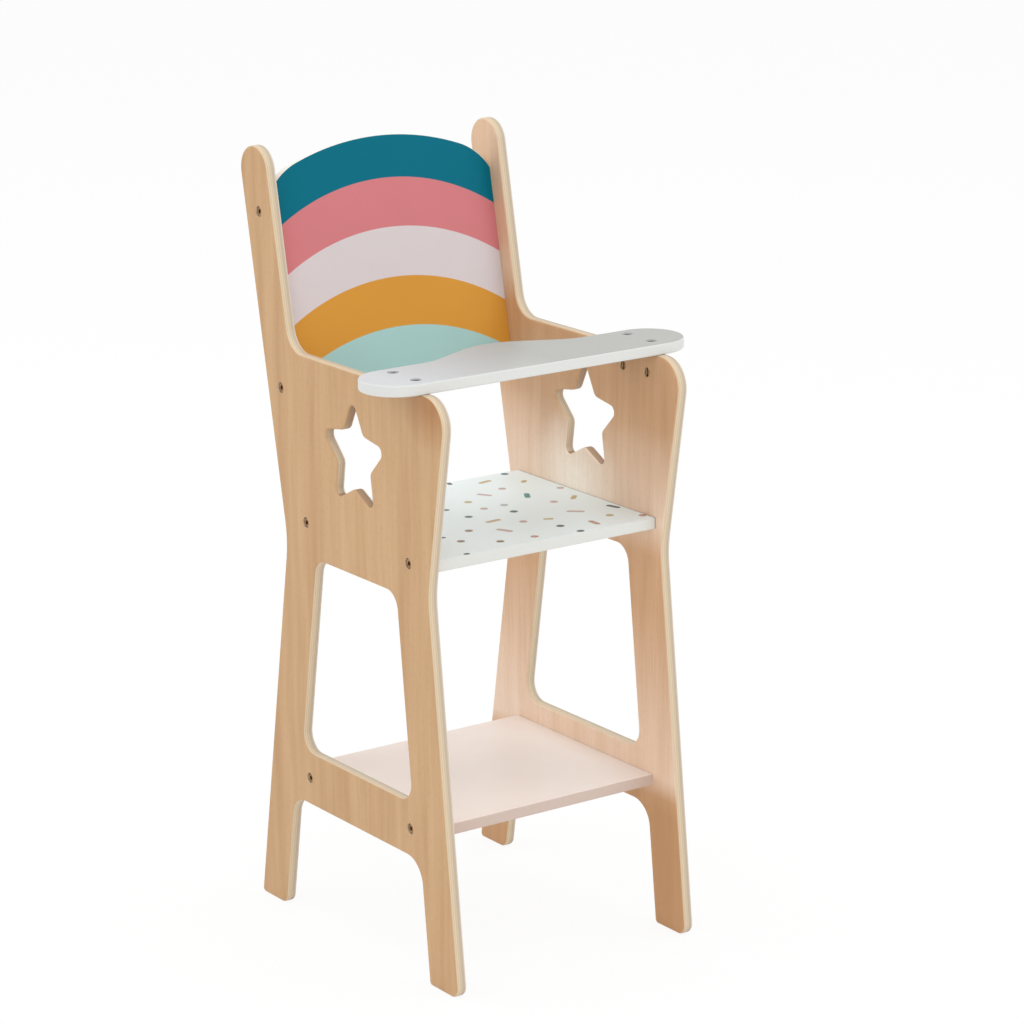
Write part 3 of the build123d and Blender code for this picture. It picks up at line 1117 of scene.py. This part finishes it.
@dataclass
class Fasteners:
    """All bolts and barrel nuts of the chair, each a copy of one model at its CAD node's place."""

    bolt: PanelBolt = field(default_factory=PanelBolt)
    nut: BarrelNut = field(default_factory=BarrelNut)
    # Metal colours: painted reflection and shade of the recesses in the wood and in the white tray
    metal: ZincSteel = ZincSteel()
    tray_metal: ZincSteel = ZincSteel("#88888B", "#5A5A5E")

    @staticmethod
    def turn_to(up: Vector, side: Vector) -> Matrix:
        """Matrix that turns Z to a direction and X near another one."""
        z_axis = up.normalized()
        y_axis = z_axis.cross(side).normalized()
        return Matrix((y_axis.cross(z_axis), y_axis, z_axis)).transposed().to_4x4()

    @staticmethod
    def bolt_axis(node: str) -> Vector:
        """Direction from a bolt's shank to its head, also for the bolt of a barrel nut."""
        low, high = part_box(node)
        if node.startswith("tray"):
            return Vector((0, 0, 1))
        return Vector((math.copysign(1, low.x + high.x), 0, 0))

    @staticmethod
    def nut_mouth(node: str) -> Vector:
        """Direction from a barrel nut to the mouth of its hole."""
        low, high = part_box(node)
        if node.startswith("tray"):
            return Vector((-math.copysign(1, low.x + high.x), 0, 0))
        if node.startswith("back"):
            return Vector((0, math.cos(POST_LEAN), -math.sin(POST_LEAN)))
        return Vector((0, 0, -1))

    def build(self) -> int:
        """Model the bolt and the nut once and copy them to every place.

        Returns:
            Number of pieces made.
        """
        zinc_with_wood_reflection = self.metal.material("Zinc_Plated_Steel")
        zinc_with_tray_reflection = self.tray_metal.material("Clear_Zinc_Plated_Steel")
        bolt_mesh, nut_mesh = self.bolt.model(), self.nut.model()
        for node in FASTENER_NODES:
            low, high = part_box(node)
            spot, axis = (low + high) / 2, self.bolt_axis(node)
            if "_bolt_" in node:
                mesh, name = bolt_mesh.copy(), "Panel_Bolt_" + node.replace("_bolt", "")
                material = zinc_with_tray_reflection if node.startswith("tray") else zinc_with_wood_reflection
                spot += axis * (abs((high - low).dot(axis)) / 2 - self.bolt.head_height)
                turn = self.turn_to(axis, Vector((0, 1, 0)))
            else:
                mesh, name = nut_mesh.copy(), "Barrel_Nut_" + node.replace("_barrel_nut", "")
                material = zinc_with_wood_reflection
                turn = self.turn_to(self.nut_mouth(node), axis)
            mesh.transform(Matrix.Translation(spot) @ turn)
            settle(add_object(name, mesh), material, "zinc_steel", node)
        return len(FASTENER_NODES)


@dataclass
class SidePanels:
    """The two upright boards with their legs, arms and posts."""

    wood: Plywood = Plywood()
    edge_round: float = 1.6 * MILLIMETRE
    figure_shift: float = -170.0

    def build(self) -> None:
        """Model and dress both boards."""
        for side, sign in (("left", -1), ("right", 1)):
            middle = (sign * PANEL_MIDDLE_X, 0, 0)
            place = BoardPlace(Lie.UPRIGHT, middle, outward=sign, figure_shift=self.figure_shift * sign)
            board = Board(f"side_panel_{side}", f"Side_Board_{side.title()}", "plywood", place, self.edge_round)
            board.build(self.wood, f"Lacquered_Plywood_{side.title()}")


@dataclass
class Backrest:
    """The leaning board between the posts with its arched bands."""

    bands: ArchedBands = ArchedBands()
    edge_round: float = 0.9 * MILLIMETRE

    def build(self) -> None:
        """Model and dress the backrest."""
        low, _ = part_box("back_panel")
        # Middle of the bottom edge: half the thickness behind the front lower corner
        half = BOARD_THICKNESS / 2
        bottom = (0, low.y + half * math.cos(POST_LEAN), low.z + half * math.sin(POST_LEAN))
        place = BoardPlace(Lie.LEANING, bottom)
        board = Board("back_panel", "Backrest_Board", "rainbow_paint", place, self.edge_round, square_ends=True)
        board.build(self.bands, "Banded_Paint")


@dataclass
class LevelBoards:
    """Seat, shelf and tray."""

    # Faces and edges in tones of their own carry painted light and shade; the tray's grey top is painted shade
    seat_paint: Confetti = Confetti(SatinPaint("#ECF8FA", "#F8F8F8", "#D6D7D2", joint=93.1))
    shelf_paint: SatinPaint = SatinPaint("#EEE1D9", "#F6F4F4", "#CAB6AA")
    tray_paint: SatinPaint = SatinPaint("#A8A9A4", "#F6F6F6", "#D6D7D4", left_painted_light="#CED3D6", roughness=0.38)
    edge_round: float = 1.2 * MILLIMETRE

    def build(self) -> None:
        """Model and dress the three boards."""
        rows = (
            ("seat_panel", "Confetti_Board", "white_paint", self.seat_paint, "Confetti_Paint", True),
            ("shelf_panel", "Shelf_Board", "pale_pink_paint", self.shelf_paint, "Shelf_Paint", True),
            ("tray", "Tray_Board", "white_paint", self.tray_paint, "Tray_Paint", False),
        )
        for node, piece_name, slot, paint, material_name, square_ends in rows:
            low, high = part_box(node)
            place = BoardPlace(Lie.FLAT, tuple((low + high) / 2))
            board = Board(node, piece_name, slot, place, self.edge_round, square_ends=square_ends)
            board.build(paint, material_name)


def direction(azimuth: float, elevation: float) -> Vector:
    """Unit vector from the chair, from an azimuth that is 0 in front and grows to the right, in degrees."""
    a, e = math.radians(azimuth), math.radians(elevation)
    return Vector((math.sin(a) * math.cos(e), -math.cos(a) * math.cos(e), math.sin(e)))


def seen_directly(tree: bpy.types.NodeTree) -> bpy.types.Node:
    """Add the nodes that tell what the camera sees, also in mirrored and clear things, from other light.

    Args:
        tree: Node tree of the floor or the sky.

    Returns:
        Node that gives 1 to the camera's rays and 0 to other light.
    """
    path = add_node(tree, "LightPath").outputs
    seen = add_node(tree, "Math", (path["Is Camera Ray"], path["Is Glossy Ray"]), operation="MAXIMUM")
    return add_node(tree, "Math", (seen, path["Is Transmission Ray"]), operation="MAXIMUM")


@dataclass(frozen=True)
class SoftLamp:
    """A square soft lamp that points at the chair."""

    name: str
    azimuth: float
    elevation: float
    watts: float
    distance: float = 3.0
    size: float = 2.6

    def hang(self, target: Vector) -> None:
        """Add the lamp to the scene.

        Args:
            target: Point that the lamp faces.
        """
        away = direction(self.azimuth, self.elevation)
        light = bpy.data.lights.new(self.name, "AREA")
        light.shape = "SQUARE"
        light.size = self.size
        light.energy = self.watts
        lamp = add_object(self.name, light)
        lamp.location = target + away * self.distance
        lamp.rotation_euler = away.to_track_quat("Z", "Y").to_euler()


@dataclass
class Studio:
    """Pale floor, soft lamps and the camera."""

    floor_size: float = 40.0
    floor_glow: float = 0.9
    floor_tones: tuple[str, str] = ("#F6F6F6", "#FBFBFB")
    floor_cloud_scale: float = 3.0
    ambient: float = 0.78
    lamps: tuple[SoftLamp, ...] = (
        SoftLamp("Window", azimuth=-140.0, elevation=40.0, watts=18.0),
        SoftLamp("Left", azimuth=-35.0, elevation=20.0, watts=15.0),
        SoftLamp("Right", azimuth=40.0, elevation=35.0, watts=15.0),
        SoftLamp("Ceiling", azimuth=0.0, elevation=88.0, watts=21.0),
    )
    target: tuple[float, float, float] = (0.0, 0.0, 0.28)
    camera_place: tuple[float, float, float] = (-1.376758, -2.047823, 0.973821)
    camera_azimuth: float = -34.6339
    camera_elevation: float = 15.23
    camera_roll: float = 0.672
    camera_lens: float = 127.004
    camera_sensor: float = 36.0
    camera_reach: tuple[float, float] = (0.05, 100.0)

    def floor(self) -> None:
        """Lay a white floor that keeps a faint shadow."""
        deselect()
        bpy.ops.mesh.primitive_plane_add(size=self.floor_size)
        ground = bpy.context.object
        ground.name = "Floor"
        material, tree = new_material("White_Floor")
        share = add_node(tree, "Math", (seen_directly(tree), self.floor_glow), operation="MULTIPLY")
        cloud = add_node(tree, "TexNoise", {"Scale": self.floor_cloud_scale})
        paper = add_node(tree, "Mix", (cloud, *self.floor_tones), data_type="RGBA")
        diffuse = add_node(tree, "BsdfDiffuse", (paper,))
        glow = add_node(tree, "Emission", {"Strength": 1.0})
        add_node(tree, "OutputMaterial", (add_node(tree, "MixShader", (share, diffuse, glow)),))
        ground.data.materials.append(material)

    def sky(self) -> None:
        """Surround the chair with even white light, white where it is seen."""
        world = bpy.data.worlds.new("Studio")
        world.use_nodes = True
        tree = world.node_tree
        tree.nodes.clear()
        strength = add_node(tree, "MapRange", (seen_directly(tree), 0, 1, self.ambient, 1))
        add_node(tree, "OutputWorld", (add_node(tree, "Background", ((1, 1, 1, 1), strength)),))
        bpy.context.scene.world = world

    def camera(self) -> None:
        """Set the camera at the photograph's place."""
        roll = math.radians(self.camera_roll)
        back = direction(self.camera_azimuth, self.camera_elevation)
        right = Vector((0, 0, 1)).cross(back).normalized()
        up = right.cross(-back)
        rolled_right = right * math.cos(roll) - up * math.sin(roll)
        rolled_up = right * math.sin(roll) + up * math.cos(roll)
        data = bpy.data.cameras.new("Camera")
        data.lens = self.camera_lens
        data.sensor_width = self.camera_sensor
        data.clip_start, data.clip_end = self.camera_reach
        camera = add_object("Camera", data)
        matrix = Matrix((rolled_right, rolled_up, back)).transposed().to_4x4()
        matrix.translation = Vector(self.camera_place)
        camera.matrix_world = matrix
        bpy.context.scene.camera = camera

    def build(self) -> None:
        """Set up the floor, the light and the camera."""
        self.floor()
        self.sky()
        for lamp in self.lamps:
            lamp.hang(Vector(self.target))
        self.camera()
        bpy.context.scene.view_settings.view_transform = "Standard"


def main() -> None:
    """Build the chair, its finishes and its studio."""
    logging.basicConfig(level=logging.INFO)
    SidePanels().build()
    Backrest().build()
    LevelBoards().build()
    LOG.info("fasteners: %d pieces", Fasteners().build())
    Studio().build()


if __name__ == "__main__":
    main()
